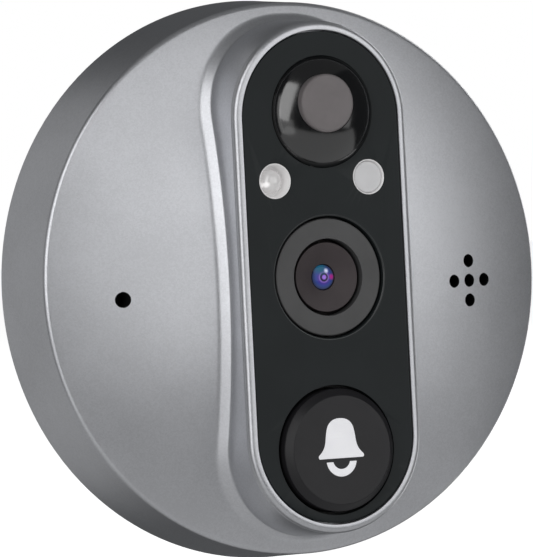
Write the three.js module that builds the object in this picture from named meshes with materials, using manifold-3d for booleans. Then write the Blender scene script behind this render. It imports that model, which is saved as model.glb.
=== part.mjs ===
// Outdoor unit of an electronic door viewer, in millimetres.
//
// The unit hangs flat on the outside of a door. The origin is the centre of the door hole on the door's
// outer face. +Z is up, the visitor stands on the -Y side and the door is on the +Y side.
// "Height" below always means the distance in front of the door face, so a point at height h has y = -h.
//
// A domed round housing carries a raised, round-ended island. Down the island's black panel sit a motion
// sensor, two lamps, a camera and a sprung bell button. Behind them are the circuit board, the speaker on
// the right, the microphone on the left and a screwed back cover with two threaded posts that reach into
// the door hole, either side of the ribbon cable's slot.

import * as THREE from 'three';
import { mergeVertices } from 'three/addons/utils/BufferGeometryUtils.js';
import Module from 'manifold-3d';

const wasm = await Module();
wasm.setup();

// ---------------------------------------------------------------- driving dimensions

const gap = 0.05; // between faces that rest on each other
const fitGap = 0.15; // between a piece and the hole it drops into

// Housing
const backRadius = 32.15; // at the door
const rimRadius = 31.4; // at the front edge of the side wall
const housingBack = 0.3; // the foam pad stands this proud of the housing
const rimHeight = 10.4;
const crownHeight = 16.2; // top of the dome, under the island
const rimRound = 0.45;
const rimRoundTurn = THREE.MathUtils.degToRad(72); // less than a quarter turn, as the dome slopes
const wall = 1.6;
const ledgeHeight = 4.1; // the back cover clamps its seal against this ledge
const ledgeRadius = 28.9;
const mouthRadius = 30.3; // inside the housing, behind the ledge

// Island and panel
const islandHeight = 18.9;
const islandHalfWidth = 10.95;
const islandHalfLength = 28.95;
const bezelWidth = 1.0;
const panelHalfWidth = islandHalfWidth - bezelWidth - fitGap;
const panelHalfLength = islandHalfLength - bezelWidth - fitGap;
const panelFace = islandHeight - 0.15;
const panelThickness = 1.5;
const tapeThickness = 0.2;
const panelBack = panelFace - panelThickness;
const pocketFloor = panelBack - tapeThickness - 2 * gap;
const deckBack = pocketFloor - wall; // underside of the deck that carries the panel
const islandCavityHalfWidth = islandHalfWidth - wall;
const islandCavityHalfLength = islandHalfLength - 1.45;

// What sits down the panel, from the top. Places are z, or x and z.
const pirX = 0.25; // the sensor sits a touch right of the middle
const pirZ = 18.7;
const pirRadius = 6.3;
const pirNeckRadius = 6.05;
const pirFlangeRadius = 7.6; // keeps the dome behind the deck
const pirPanelHole = 6.36;
const pirLensRadius = 3.3;
const pirLensX = -0.71; // from the dome's axis
const pirLensZ = 0.88;
const pirDomeHeight = 3.07;
const pirLensFace = panelFace + 2.95;

const lampXs = { left: -6.1, right: 5.85 };
const lampZ = 11.1;
const lampRadius = 2.0;
const lampCupDepth = 1.9;

const cameraX = 0.2;
const trimRadius = 6.65; // grey ring round the camera
const trimFace = panelFace - 0.45;
const cameraPanelHole = 7.05;
const apertureRadius = 4.36;
const barrelHeadRadius = 3.92;
const barrelHeadRim = trimFace - 0.4; // the black face dishes in from its rim to the lens
const barrelHeadFace = trimFace - 1.25;
const frontLensRadius = 1.4;

const buttonZ = -19.55;
const buttonPanelHole = 7.35;
const buttonRadius = 6.95;
const buttonFaceRadius = 6.15;
const buttonFace = panelFace + 1.37;
const buttonTravel = 0.8;

// Sound
const soundZ = -1.35;
const micX = -23.1;
const micHoleRadius = 0.9;
const speakerX = 21.1;
const speakerHoleRadius = 0.75;
const speakerHolePitch = 2.25;
const speakerRadius = 6.2;

// Board, back cover and fixings
const boardBack = 4.6;
const boardFront = 5.8;
const boardRadius = 26.6;
const coverBack = 0.8;
const coverFront = 2.8;
const coverRadius = mouthRadius - fitGap;
const coverScrewAt = 17.3; // x and z of the four pillars
const pillarRadius = 2.6;
const boardScrewX = 12.8;
const boardScrewZs = [9, -12];
const boardPostRadius = 2;
const coverScrewRadius = 1.15;
const boardScrewRadius = 0.9;
const mountPostX = 5.15; // with the radius, this lets the pair enter a 14 mm door hole
const mountPostRadius = 1.8;
const mountPostReach = 8; // into the door hole
const mountPostBore = 1.25; // tapped M3
const padHoleRadius = 12;
const slotHalfWidth = 2.55; // ribbon cable's slot in the cover
const slotHalfLength = 5.6;
const grommetWall = 0.4;

const visibleSegments = 52;
const smallSegments = 20;

// ---------------------------------------------------------------- finishes

function finish(color, roughness, metalness = 0) {
  return new THREE.MeshStandardMaterial({ color, roughness, metalness });
}

const silverPaint = finish(0xa9abad, 0.42, 0.55);
const glossBlack = finish(0x0b0b0c, 0.12);
const panelBlack = finish(0x242728, 0.2);
const satinBlack = finish(0x252528, 0.45);
const darkGrey = finish(0x464749, 0.5);
const lensGrey = finish(0x6b6969, 0.45);
const iconWhite = finish(0xe8e9ea, 0.5);
const lampWhite = finish(0xd5d3d2, 0.4);
const clear = finish(0xe4e8ea, 0.05);
const coatedGlass = finish(0x2c3a8c, 0.05);
const moduleBlack = finish(0x17181a, 0.55);
const rubberBlack = finish(0x1d1e1f, 0.85);
const steel = finish(0xb7b9bb, 0.3, 1);
const brass = finish(0xb99a55, 0.35, 1);
const boardGreen = finish(0x1f5a3a, 0.5);
const siliconeGrey = finish(0x8b8f92, 0.7);

// ---------------------------------------------------------------- shape helpers

// A solid turned about the line through (x, z) that is normal to the door. The profile is a list of
// [radius, height], up its outside from back to front.
function turned(profile, segments = smallSegments, x = 0, z = 0) {
  const points = profile.map(([radius, height]) => new THREE.Vector2(radius, -height)).reverse();
  return new THREE.LatheGeometry(points, segments).translate(x, 0, z);
}

// A ring closed on itself, from its inner and outer radius and the heights of its two faces.
function ring(inner, outer, back, front, segments = smallSegments) {
  return turned([[inner, back], [outer, back], [outer, front], [inner, front], [inner, back]], segments);
}

function disc(radius, back, front, segments = smallSegments, x = 0, z = 0) {
  return turned([[0, back], [radius, back], [radius, front], [0, front]], segments, x, z);
}

// A flat shape drawn in x and z, as a solid between two heights.
function plate(shape, back, front, curveSegments = 12) {
  return new THREE.ExtrudeGeometry(shape, { depth: front - back, bevelEnabled: false, curveSegments })
    .rotateX(Math.PI / 2)
    .translate(0, -back, 0);
}

function block(width, tall, back, front, x = 0, z = 0) {
  return new THREE.BoxGeometry(width, front - back, tall).translate(x, -(back + front) / 2, z);
}

// A round-ended outline, longer in z than in x.
function stadium(halfWidth, halfLength) {
  const centre = halfLength - halfWidth;
  const shape = new THREE.Shape();
  shape.absarc(0, centre, halfWidth, 0, Math.PI);
  shape.absarc(0, -centre, halfWidth, Math.PI, 2 * Math.PI);
  shape.closePath();
  return shape;
}

function withHoles(shape, holes) {
  for (const [x, z, radius] of holes) {
    shape.holes.push(new THREE.Path().absarc(x, z, radius, 0, 2 * Math.PI, true));
  }
  return shape;
}

// Height at a radius on the part of a sphere that passes through its crown and its rim.
function capHeight(crown, rim, radiusAtRim, radius) {
  const rise = crown - rim;
  const sphere = (radiusAtRim ** 2 + rise ** 2) / (2 * Math.abs(rise));
  return crown - Math.sign(rise) * (sphere - Math.sqrt(sphere ** 2 - radius ** 2));
}

// Points [radius, height] on that part of the sphere, from its rim in to its crown.
function domeArc(crown, rim, radiusAtRim, steps) {
  return Array.from({ length: steps + 1 }, (_, i) => {
    const radius = radiusAtRim * (1 - i / steps);
    return [radius, capHeight(crown, rim, radiusAtRim, radius)];
  });
}

const domeInside = (radius) => capHeight(crownHeight - wall, rimHeight - wall, ledgeRadius, radius);

// ---------------------------------------------------------------- solids, for cuts and joins

function solid(geometry) {
  const bare = new THREE.BufferGeometry();
  bare.setAttribute('position', geometry.getAttribute('position'));
  bare.setIndex(geometry.index);
  const merged = mergeVertices(bare, 1e-4);
  return new wasm.Manifold(new wasm.Mesh({
    numProp: 3,
    vertProperties: new Float32Array(merged.getAttribute('position').array),
    triVerts: new Uint32Array(merged.index.array),
  }));
}

function geometryOf(manifold) {
  const mesh = manifold.getMesh();
  const geometry = new THREE.BufferGeometry();
  geometry.setAttribute('position', new THREE.BufferAttribute(mesh.vertProperties, 3));
  geometry.setIndex(new THREE.BufferAttribute(mesh.triVerts, 1));
  const faceted = geometry.toNonIndexed();
  faceted.computeVertexNormals();
  return faceted;
}

function joined(...geometries) {
  return geometries.map(solid).reduce((whole, piece) => whole.add(piece));
}

function cut(whole, ...geometries) {
  return geometries.map(solid).reduce((left, piece) => left.subtract(piece), whole);
}

// ---------------------------------------------------------------- the assembly

const viewer = new THREE.Group();

function assembly(x = 0, z = 0) {
  const group = new THREE.Group();
  group.position.set(x, 0, z);
  viewer.add(group);
  return group;
}

function addPart(group, name, shape, material) {
  const geometry = shape.isBufferGeometry ? shape : geometryOf(shape);
  const mesh = new THREE.Mesh(geometry, material);
  mesh.name = name;
  group.add(mesh);
  return mesh;
}

const fourCorners = [[1, 1], [-1, 1], [-1, -1], [1, -1]];
const pillars = fourCorners.map(([sx, sz]) => [sx * coverScrewAt, sz * coverScrewAt]);
const boardPosts = boardScrewZs.flatMap((z) => [[boardScrewX, z], [-boardScrewX, z]]);
const lamps = Object.entries(lampXs);
const speakerHoles = [[0, 0], [1, 0], [-1, 0], [0, 1], [0, -1]]
  .map(([i, k]) => [speakerX + i * speakerHolePitch, soundZ + k * speakerHolePitch]);

// ---------------------------------------------------------------- housing and panel

// Each opening down the island as x, z and radius, in the panel and in the deck behind it.
const panelHoles = [
  [pirX, pirZ, pirPanelHole],
  ...lamps.map(([, x]) => [x, lampZ, lampRadius + 0.05]),
  [cameraX, 0, cameraPanelHole],
  [0, buttonZ, buttonPanelHole],
];
const deckHoles = [
  [pirX, pirZ, pirPanelHole + 0.1],
  ...lamps.map(([, x]) => [x, lampZ, lampRadius + 0.35]),
  [cameraX, 0, trimRadius - 0.75],
  [0, buttonZ, buttonRadius + 0.2],
];

// The rounded front rim, from the side wall to the start of the dome.
function rimEdge() {
  return [0, 1, 2].map((i) => {
    const turn = (i / 2) * rimRoundTurn;
    return [rimRadius - rimRound * (1 - Math.cos(turn)), rimHeight - rimRound * (1 - Math.sin(turn))];
  });
}

function housingOutside() {
  const dome = domeArc(crownHeight, rimHeight, rimRadius, 6).slice(1);
  const round = turned(
    [[0, housingBack], [backRadius, housingBack], ...rimEdge(), ...dome],
    visibleSegments,
  );
  const island = plate(stadium(islandHalfWidth, islandHalfLength), rimHeight - wall, islandHeight, 12);
  return joined(round, island);
}

// The room behind the dome, with a ledge for the seal at its mouth, and the room inside the island.
function housingInside() {
  const innerDome = domeArc(crownHeight - wall, rimHeight - wall, ledgeRadius, 4);
  const room = turned([
    [0, housingBack - 1], [mouthRadius, housingBack - 1], [mouthRadius, ledgeHeight],
    [ledgeRadius, ledgeHeight], ...innerDome,
  ], visibleSegments);
  const cavity = stadium(islandCavityHalfWidth, islandCavityHalfLength);
  return [room, plate(cavity, ledgeHeight, deckBack, 10)];
}

// Pillars for the cover's screws and posts for the board's, each run into the dome's inside.
function housingSupports() {
  const support = (radius, back, [x, z]) => {
    const front = domeInside(Math.hypot(x, z)) + wall / 2;
    return solid(disc(radius, back, front, 12, x, z));
  };
  return [
    ...pillars.map((at) => support(pillarRadius, coverFront + gap, at)),
    ...boardPosts.map((at) => support(boardPostRadius, boardFront + gap, at)),
  ];
}

function housingHoles() {
  const drill = (radius, back, front, segments) => ([x, z]) => disc(radius, back, front, segments, x, z);
  const deckHole = ([x, z, radius]) => disc(radius, deckBack - 1, pocketFloor + 1, 28, x, z);
  const bezelInside = stadium(islandHalfWidth - bezelWidth, islandHalfLength - bezelWidth);
  return [
    plate(bezelInside, pocketFloor, islandHeight + 1, 12),
    ...deckHoles.map(deckHole),
    ...pillars.map(drill(coverScrewRadius + 0.1, coverFront - 1, coverFront + 6.2, 10)),
    ...boardPosts.map(drill(boardScrewRadius + 0.1, boardFront - 1, boardFront + 4.2, 10)),
    ...speakerHoles.map(drill(speakerHoleRadius, ledgeHeight + 3, crownHeight, 12)),
    disc(micHoleRadius, ledgeHeight + 3, crownHeight, 14, micX, soundZ),
  ];
}

function housing() {
  const shell = cut(housingOutside(), ...housingInside());
  const ribbed = housingSupports().reduce((whole, piece) => whole.add(piece), shell);
  return cut(ribbed, ...housingHoles());
}

function panel() {
  return plate(withHoles(stadium(panelHalfWidth, panelHalfLength), panelHoles), panelBack, panelFace, 11);
}

// The tape comes nearer to the pieces in its holes than the panel does, so that no deck shows round them.
function panelTape() {
  const back = pocketFloor + gap;
  const outline = stadium(panelHalfWidth - 0.3, panelHalfLength - 0.3);
  const holes = [
    [pirX, pirZ, pirNeckRadius + 0.2],
    [cameraX, 0, trimRadius + 0.12],
    [0, buttonZ, buttonRadius + 0.15],
    ...lamps.map(([, x]) => [x, lampZ, lampRadius + 0.15]),
  ];
  return plate(withHoles(outline, holes), back, back + tapeThickness, 12);
}

const body = assembly();
addPart(body, 'front_housing', housing(), silverPaint);
addPart(body, 'front_panel', panel(), panelBlack);
addPart(body, 'panel_adhesive', panelTape(), rubberBlack);

// ---------------------------------------------------------------- motion sensor

// A bulging black dome, stepped down behind the deck to a flange, with a seat bored for the lens.
function pirDome() {
  const cap = domeArc(panelFace + pirDomeHeight, panelFace + gap, pirRadius, 8);
  const flangeBack = deckBack - 0.9;
  const shell = turned([
    [0, flangeBack], [pirFlangeRadius, flangeBack], [pirFlangeRadius, deckBack - gap],
    [pirNeckRadius, deckBack - gap], [pirNeckRadius, panelFace - 0.1],
    ...cap,
  ], 36);
  const hollow = turned([
    [0, flangeBack - 1], [pirNeckRadius - 1, flangeBack - 1],
    ...domeArc(panelFace + pirDomeHeight - 1, panelFace - 0.3, pirNeckRadius - 1, 5),
  ], 24);
  const lensSeat = disc(pirLensRadius + gap, panelFace - 1, pirLensFace + 1, 28, pirLensX, pirLensZ);
  return cut(solid(shell), hollow, lensSeat);
}

function pirLens() {
  return turned([
    [0, panelFace + 0.9], [pirLensRadius, panelFace + 0.9], [pirLensRadius, pirLensFace - 0.15],
    [pirLensRadius - 0.15, pirLensFace], [0, pirLensFace],
  ], 28, pirLensX, pirLensZ);
}

function pirCan(back, front) {
  return turned([
    [0, back], [4.55, back], [4.55, back + 0.4], [4.1, back + 0.4], [4.1, front - 0.3], [3.9, front],
    [0, front],
  ]);
}

const pir = assembly(pirX, pirZ);
const pirSpacerFront = boardFront + 5.6;
const pirCanFront = pirSpacerFront + gap + 3.3;
addPart(pir, 'pir_dome', pirDome(), glossBlack);
addPart(pir, 'pir_lens', pirLens(), lensGrey);
addPart(pir, 'pir_spacer', disc(4.6, boardFront + gap, pirSpacerFront), moduleBlack);
addPart(pir, 'pir_sensor_can', pirCan(pirSpacerFront + gap, pirCanFront), steel);
addPart(pir, 'pir_sensor_window', block(4, 3, pirCanFront + gap, pirCanFront + 0.35), moduleBlack);

// ---------------------------------------------------------------- lamps

// A white light pipe: a cup that fills its hole in the panel, on a rod that reaches down to its lamp.
function lightPipe(lampFront) {
  const cupFloor = panelFace - lampCupDepth;
  return turned([
    [0, lampFront], [1.5, lampFront], [1.5, cupFloor - 1.4], [lampRadius, cupFloor - 0.7],
    [lampRadius, panelFace - 0.05], [lampRadius - 0.12, panelFace - 0.05], [lampRadius - 0.2, cupFloor],
    [0, cupFloor],
  ]);
}

function lampLens() {
  const back = panelFace - lampCupDepth + gap;
  const dome = domeArc(back + 1.65, back + 1.2, lampRadius - 0.3, 4);
  return turned([[0, back], [lampRadius - 0.3, back], ...dome]);
}

for (const [side, x] of lamps) {
  const lamp = assembly(x, lampZ);
  const chipFront = boardFront + gap + 0.75;
  addPart(lamp, `lamp_chip_${side}`, block(3.5, 2.8, boardFront + gap, chipFront), lampWhite);
  addPart(lamp, `light_pipe_${side}`, lightPipe(chipFront + gap), lampWhite);
  addPart(lamp, `lamp_lens_${side}`, lampLens(), clear);
}

// ---------------------------------------------------------------- camera

const sensorFront = boardFront + gap + 0.9;
const holderFront = boardFront + 6.2;
const barrelBack = sensorFront + 1.6;
const barrelThreadRadius = 5.9;
const throatRadius = frontLensRadius + 0.12;

function trimRing() {
  const back = pocketFloor + gap;
  return turned([
    [apertureRadius, back], [trimRadius, back], [trimRadius, trimFace - 0.15],
    [trimRadius - 0.15, trimFace], [apertureRadius + 0.05, trimFace], [apertureRadius, trimFace - 0.05],
    [apertureRadius, back],
  ], 36);
}

function lensBarrel() {
  const shoulder = deckBack - 0.4;
  return turned([
    [3.6, barrelBack], [barrelThreadRadius, barrelBack], [barrelThreadRadius, shoulder - 0.5],
    [barrelThreadRadius - 0.5, shoulder], [barrelHeadRadius, shoulder], [barrelHeadRadius, barrelHeadRim],
    [throatRadius, barrelHeadFace], [throatRadius, shoulder - 1], [3.6, shoulder - 1.4], [3.6, barrelBack],
  ], 28);
}

function frontLens() {
  const edge = barrelHeadFace - 0.1;
  return turned([
    [0, edge - 1.1], [frontLensRadius, edge - 1.1], ...domeArc(edge + 0.35, edge, frontLensRadius, 4),
  ]);
}

function rearLens() {
  const back = barrelBack + 0.8;
  const rearFace = domeArc(back, back + 0.6, 3.5, 4).reverse();
  const frontFace = domeArc(back + 2.9, back + 2.2, 3.5, 4);
  return turned([...rearFace, ...frontFace]);
}

function lensHolder() {
  const base = block(14, 14, boardFront + gap, boardFront + 3.4);
  const neck = disc(7, boardFront + 3, holderFront, 32);
  const bore = disc(barrelThreadRadius + 0.08, barrelBack - 0.1, holderFront + 1, 36);
  const sensorRoom = block(9.4, 9.4, boardFront - 1, barrelBack);
  return cut(joined(base, neck), bore, sensorRoom);
}

const camera = assembly(cameraX, 0);
addPart(camera, 'camera_trim_ring', trimRing(), darkGrey);
addPart(camera, 'lens_barrel', lensBarrel(), moduleBlack);
addPart(camera, 'front_lens', frontLens(), coatedGlass);
addPart(camera, 'rear_lens', rearLens(), clear);
addPart(camera, 'lens_holder', lensHolder(), moduleBlack);
addPart(camera, 'infrared_filter', block(8.6, 8.6, sensorFront + 0.5, sensorFront + 0.9), coatedGlass);
addPart(camera, 'image_sensor', block(8, 7, boardFront + gap, sensorFront), moduleBlack);

// ---------------------------------------------------------------- bell button

const plungerFront = boardFront + 6.4;
const switchFront = boardFront + 4.0;
const carrierFront = plungerFront + 0.6;
const capSkin = 1.4;
const capUnderside = buttonFace - capSkin;
const stemRadius = 1.6;
const flangeFront = deckBack - 0.5;
const flangeRadius = buttonRadius + 0.7; // stops the cap behind the deck

function buttonCap() {
  const outside = turned([
    [0, flangeFront - 0.8], [flangeRadius, flangeFront - 0.8], [flangeRadius, flangeFront],
    [buttonRadius, flangeFront], [buttonRadius, panelFace + 0.6],
    [buttonFaceRadius + 0.1, buttonFace - 0.1], [buttonFaceRadius - 0.1, buttonFace], [0, buttonFace],
  ], 40);
  const hollow = ring(stemRadius, buttonRadius - 1.2, flangeFront - 2, capUnderside, 32);
  const stem = disc(stemRadius, plungerFront + gap, flangeFront);
  return cut(joined(outside, stem), hollow, ...bellIconPieces(0.08, buttonFace + 1));
}

// Sizes of the bell sign, from the middle of the cap.
const bellHalfWidth = 2.9;
const bellX = -0.15;
const bellShoulder = 1.77;
const bellTop = 3.6;
const bellFoot = -0.9;
const clapperCentre = -1.05;
const clapperTop = -1.3;
const clapperOuter = 1.93;
const clapperInner = 1.08;

// Outlines of the bell and of its clapper in x and z, "grow" wider all round for the openings they fill.
function bellOutline(grow) {
  const foot = bellHalfWidth + grow;
  const shoulder = bellShoulder + grow;
  const waist = bellShoulder + 0.2 + grow;
  const base = bellFoot - grow;
  const top = bellTop + grow;
  const shape = new THREE.Shape();
  shape.moveTo(-foot + 0.15, base);
  shape.lineTo(foot - 0.15, base);
  shape.quadraticCurveTo(foot + 0.05, base + 0.1, foot - 0.1, bellFoot + 0.4);
  shape.bezierCurveTo(waist + 0.4, bellFoot + 0.8, waist + 0.05, bellFoot + 1.3, waist, bellFoot + 1.8);
  shape.lineTo(shoulder, bellFoot + 3.1);
  shape.bezierCurveTo(shoulder - 0.2, top - 0.5, shoulder / 2, top, 0, top);
  shape.bezierCurveTo(-shoulder / 2, top, -shoulder + 0.2, top - 0.5, -shoulder, bellFoot + 3.1);
  shape.lineTo(-waist, bellFoot + 1.8);
  shape.bezierCurveTo(
    -waist - 0.05, bellFoot + 1.3, -waist - 0.4, bellFoot + 0.8, -foot + 0.1, bellFoot + 0.4,
  );
  shape.quadraticCurveTo(-foot - 0.05, base + 0.1, -foot + 0.15, base);
  return shape;
}

function clapperOutline(grow) {
  const dropAt = (radius) => Math.asin((clapperCentre - clapperTop - grow) / radius);
  const outer = clapperOuter + grow;
  const inner = clapperInner - grow;
  const shape = new THREE.Shape();
  shape.absarc(0, clapperCentre, outer, Math.PI + dropAt(outer), 2 * Math.PI - dropAt(outer));
  shape.absarc(0, clapperCentre, inner, 2 * Math.PI - dropAt(inner), Math.PI + dropAt(inner), true);
  shape.closePath();
  return shape;
}

// Bell and clapper stand on a plate that is buried in the cap's skin.
function bellIconPieces(grow, front) {
  const plateBack = capUnderside + 0.4;
  const plateFront = plateBack + 0.4;
  return [
    plate(stadium(2.2 + grow, 2.6 + grow), plateBack - grow, plateFront + grow, 6),
    plate(bellOutline(grow), plateFront - 0.2 - grow, front, 4).translate(bellX, 0, 0),
    plate(clapperOutline(grow), plateFront - 0.2 - grow, front, 6).translate(bellX, 0, 0),
  ];
}

function bellIcon() {
  return joined(...bellIconPieces(0, buttonFace));
}

// Return spring, wound round the cap's stem.
class Helix extends THREE.Curve {
  constructor(radius, back, front, turns) {
    super();
    Object.assign(this, { radius, back, front, turns });
  }

  getPoint(t, target = new THREE.Vector3()) {
    const angle = t * this.turns * 2 * Math.PI;
    const height = this.back + (this.front - this.back) * t;
    return target.set(this.radius * Math.cos(angle), -height, this.radius * Math.sin(angle));
  }
}

const springWire = 0.3; // radius
const springRadius = 3.5;
const springBack = carrierFront + gap;
const springFront = capUnderside - gap;

function buttonSpring() {
  const turns = 3.5;
  const wire = new THREE.Shape().absarc(0, 0, springWire, 0, 2 * Math.PI);
  const inset = springWire + 0.05;
  const path = new Helix(springRadius, springBack + inset, springFront - inset, turns);
  return new THREE.ExtrudeGeometry(wire, { steps: 16 * turns, curveSegments: 3, extrudePath: path });
}

function buttonCarrier() {
  const cup = disc(5.2, boardFront + gap, carrierFront, 32);
  const room = block(6.4, 6.4, boardFront - 1, carrierFront - 0.8);
  const stemHole = disc(stemRadius + 0.5, boardFront, carrierFront + 1);
  return cut(solid(cup), room, stemHole);
}

function switchBody() {
  const box = block(6, 6, boardFront + gap, switchFront);
  const well = disc(1.55, boardFront + 1.2, switchFront + 1);
  return cut(solid(box), well);
}

function buttonGasket() {
  return ring(buttonRadius + 0.25, buttonRadius + 0.75, flangeFront + gap, deckBack - gap, 28);
}

const button = assembly(0, buttonZ);
addPart(button, 'bell_button_cap', buttonCap(), satinBlack);
addPart(button, 'bell_icon', bellIcon(), iconWhite);
addPart(button, 'button_spring', buttonSpring(), steel);
addPart(button, 'button_carrier', buttonCarrier(), moduleBlack);
addPart(button, 'button_gasket', buttonGasket(), siliconeGrey);
addPart(button, 'switch_body', switchBody(), moduleBlack);
addPart(button, 'switch_plunger', disc(1.45, boardFront + 1.3 + buttonTravel, plungerFront), lampWhite);

// ---------------------------------------------------------------- speaker

const speakerFront = boardFront + 2.9;

function speakerFrame() {
  const back = boardFront + gap;
  const lip = speakerRadius - 0.7;
  return turned([
    [0, back], [speakerRadius - 1, back], [speakerRadius - 1, back + 1.2], [speakerRadius, back + 1.5],
    [speakerRadius, speakerFront], [lip, speakerFront], [lip, speakerFront - 0.7],
    [lip - 0.6, speakerFront - 1.1], [0, speakerFront - 1.1],
  ], 28);
}

function speakerDiaphragm() {
  const edge = speakerFront - 0.65;
  return turned([
    [0, edge - 0.3], [3, edge - 0.3], [4.6, edge], [5.4, edge], [5.4, edge + 0.25], [4.6, edge + 0.4],
    [3.8, edge + 0.1], ...domeArc(edge + 0.6, edge, 3, 3),
  ], 28);
}

function speakerGasket() {
  return ring(speakerRadius - 0.6, speakerRadius, speakerFront + gap, speakerFront + 0.5, 28);
}

const speaker = assembly(speakerX, soundZ);
addPart(speaker, 'speaker_frame', speakerFrame(), moduleBlack);
addPart(speaker, 'speaker_diaphragm', speakerDiaphragm(), darkGrey);
addPart(speaker, 'speaker_gasket', speakerGasket(), rubberBlack);

// A woven dust screen lies along the inside of the dome, behind the sound holes.
const screen = addPart(speaker, 'speaker_screen', disc(3.9, -0.12, 0.12), darkGrey);
screen.position.y = 0.5 - domeInside(Math.hypot(speakerX, soundZ));
screen.rotation.z = Math.atan2(domeInside(speakerX - 1) - domeInside(speakerX + 1), 2);

// ---------------------------------------------------------------- microphone

function microphoneBoot() {
  const back = boardFront + gap;
  const front = domeInside(Math.hypot(micX, soundZ) + 3.4) - 0.1;
  const outside = turned([[0, back], [3.4, back], [3.4, front - 0.6], [2.9, front], [0, front]]);
  return cut(solid(outside), disc(2.75, back - 1, back + 3), disc(micHoleRadius, back, front + 1, 16));
}

const microphone = assembly(micX, soundZ);
addPart(microphone, 'microphone_boot', microphoneBoot(), rubberBlack);
addPart(microphone, 'microphone_capsule', disc(2.7, boardFront + gap, boardFront + 2.7), steel);

// ---------------------------------------------------------------- circuit board

// The board is notched at its edge for the four pillars and drilled for its own four screws.
function mainBoard() {
  const round = disc(boardRadius, boardBack, boardFront, 40);
  const hole = (radius) => ([x, z]) => disc(radius, boardBack - 1, boardFront + 1, 12, x, z);
  return cut(
    solid(round),
    ...boardPosts.map(hole(boardScrewRadius + 0.25)),
    ...pillars.map(hole(pillarRadius + 0.3)),
  );
}

const electronics = assembly();
addPart(electronics, 'main_board', mainBoard(), boardGreen);
const processor = block(7, 7, boardFront + gap, boardFront + 1.1, -12.4, soundZ);
const memory = block(5, 4, boardFront + gap, boardFront + 0.95, 11, 14.6);
const connector = block(3, 10, boardBack - 1.5, boardBack - gap);
addPart(electronics, 'image_processor', processor, moduleBlack);
addPart(electronics, 'flash_memory', memory, moduleBlack);
addPart(electronics, 'ribbon_connector', connector, lampWhite);

// ---------------------------------------------------------------- back cover, seals and fixings

const screwHeadSink = 1.2; // depth of the wells that hide the cover screws' heads
const screwWellRadius = 2.6;
const postHeadRadius = 2.4;

function backCover() {
  const round = disc(coverRadius, coverBack, coverFront, 48);
  const hole = (radius, x, z) => disc(radius, coverBack - 1, coverFront + 1, 16, x, z);
  const slot = plate(stadium(slotHalfWidth + gap, slotHalfLength + gap), coverBack - 1, coverFront + 1, 6);
  return cut(
    solid(round),
    slot,
    hole(mountPostRadius + 0.1, mountPostX, 0),
    hole(mountPostRadius + 0.1, -mountPostX, 0),
    ...pillars.map(([x, z]) => hole(coverScrewRadius + 0.35, x, z)),
    ...pillars.map(([x, z]) => disc(screwWellRadius, coverBack - 1, coverBack + screwHeadSink, 16, x, z)),
  );
}

function housingSeal() {
  return ring(ledgeRadius + 0.15, mouthRadius - 0.2, coverFront + gap, ledgeHeight - gap, 48);
}

function cableGrommet() {
  const lip = plate(stadium(slotHalfWidth, slotHalfLength), coverBack + 0.1, coverFront + 0.2, 6);
  const inside = stadium(slotHalfWidth - grommetWall, slotHalfLength - grommetWall);
  return cut(solid(lip), plate(inside, coverBack - 1, coverFront + 1, 6));
}

function adhesivePad() {
  const round = disc(coverRadius - 1, 0, coverBack - gap, 48);
  const middle = disc(padHoleRadius, -1, coverBack, 32);
  const screwHole = ([x, z]) => disc(screwWellRadius + 0.4, -1, coverBack, 14, x, z);
  return cut(solid(round), middle, ...pillars.map(screwHole));
}

function mountPost() {
  const headBack = coverFront + gap;
  const boreEnd = headBack - 0.8;
  const end = -mountPostReach;
  return turned([
    [mountPostBore, end], [mountPostRadius - 0.1, end], [mountPostRadius, end + 0.1],
    [mountPostRadius, headBack], [postHeadRadius, headBack], [postHeadRadius, headBack + 0.9],
    [0, headBack + 0.9], [0, boreEnd], [mountPostBore, boreEnd], [mountPostBore, end],
  ]);
}

// Pan-headed screw driven from the back. "seat" is the height its head bears on.
function screw(seat, headRadius, headHeight, shankRadius, length) {
  const blank = turned([
    [0, seat - headHeight], [headRadius * 0.8, seat - headHeight], [headRadius, seat - headHeight * 0.6],
    [headRadius, seat], [shankRadius, seat], [shankRadius, seat + length - 0.4],
    [shankRadius * 0.5, seat + length], [0, seat + length],
  ], 12);
  const crossDepth = headHeight * 0.6;
  const bar = [headRadius * 1.1, headRadius * 0.28];
  const recess = [bar, [...bar].reverse()]
    .map(([width, tall]) => block(width, tall, seat - headHeight - 1, seat - headHeight + crossDepth));
  return cut(solid(blank), ...recess);
}

addPart(body, 'back_cover', backCover(), satinBlack);
addPart(body, 'housing_seal', housingSeal(), siliconeGrey);
addPart(body, 'cable_grommet', cableGrommet(), rubberBlack);
addPart(body, 'adhesive_pad', adhesivePad(), rubberBlack);

for (const [side, x] of [['left', -mountPostX], ['right', mountPostX]]) {
  addPart(assembly(x, 0), `mount_post_${side}`, mountPost(), brass);
}

pillars.forEach(([x, z], i) => {
  const coverScrew = screw(coverBack + screwHeadSink - gap, 2.3, 1.0, coverScrewRadius, 6);
  addPart(assembly(x, z), `cover_screw_${i + 1}`, coverScrew, steel);
});

boardPosts.forEach(([x, z], i) => {
  const boardScrew = screw(boardBack - gap, 1.8, 1.0, boardScrewRadius, 5);
  addPart(assembly(x, z), `board_screw_${i + 1}`, boardScrew, steel);
});

export default viewer;
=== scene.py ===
# Outdoor unit of an electronic door viewer: the finished surfaces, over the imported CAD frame.
# Lengths are millimetres until "at" turns them into metres; "h" is height in front of the door, so y = -h.
import math
import bmesh
import bpy
from mathutils import Matrix, Vector


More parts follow.
